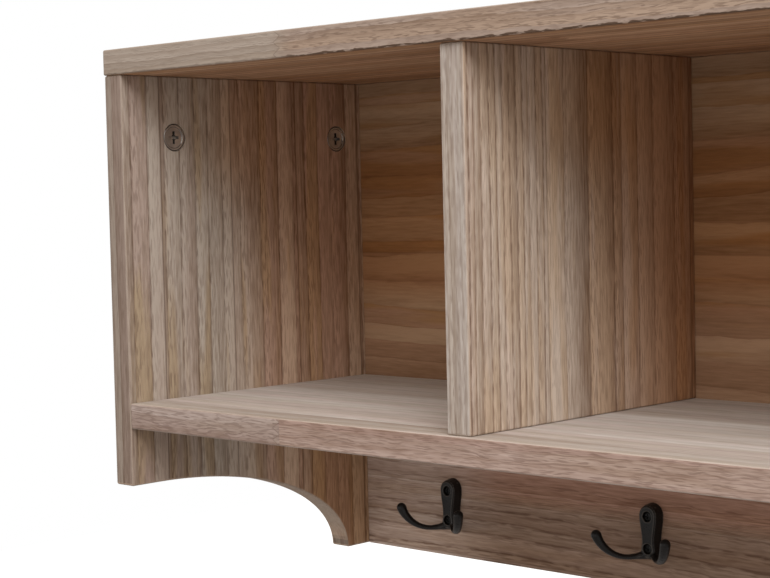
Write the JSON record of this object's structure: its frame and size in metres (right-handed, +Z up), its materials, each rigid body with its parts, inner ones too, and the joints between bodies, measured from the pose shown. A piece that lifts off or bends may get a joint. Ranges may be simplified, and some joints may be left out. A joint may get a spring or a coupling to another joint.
{
  "type": "wall coat rack with shelf",
  "caption": "Wall-mounted wooden coat rack: open compartments under a top board, above a back rail that carries black double-prong coat hooks.",
  "frame": {"origin": "on the wall face, in the middle of the row of two wall screw holes", "axes": "+X along the wall to the right as seen from the room, +Y into the wall, +Z up"},
  "size_m": [0.75, 0.2, 0.3],
  "materials": {
    "board_wood": "washed grey-brown, ring-porous softwood-light board, matt",
    "hook_metal": "near-black satin coating on cast metal",
    "hook_screw_metal": "blackened steel",
    "cam_metal": "dull zinc, as die-cast",
    "screw_metal": "zinc-plated steel",
    "dowel_wood": "plain beech"
  },
  "bodies": {
    "root": {"top_board": "board_wood", "side_left": "board_wood", "side_right": "board_wood", "shelf_board": "board_wood", "back_board": "board_wood", "partition_left": "board_wood", "partition_right": "board_wood", "hook_1": "hook_metal", "hook_2": "hook_metal", "hook_3": "hook_metal", "hook_4": "hook_metal", "hook_5": "hook_metal", "hook_screws": "hook_screw_metal", "cam_discs": "cam_metal", "cam_bolts": "screw_metal", "dowels": "dowel_wood", "partition_screws": "screw_metal", "back_screws": "screw_metal"}
  },
  "joints": []
}
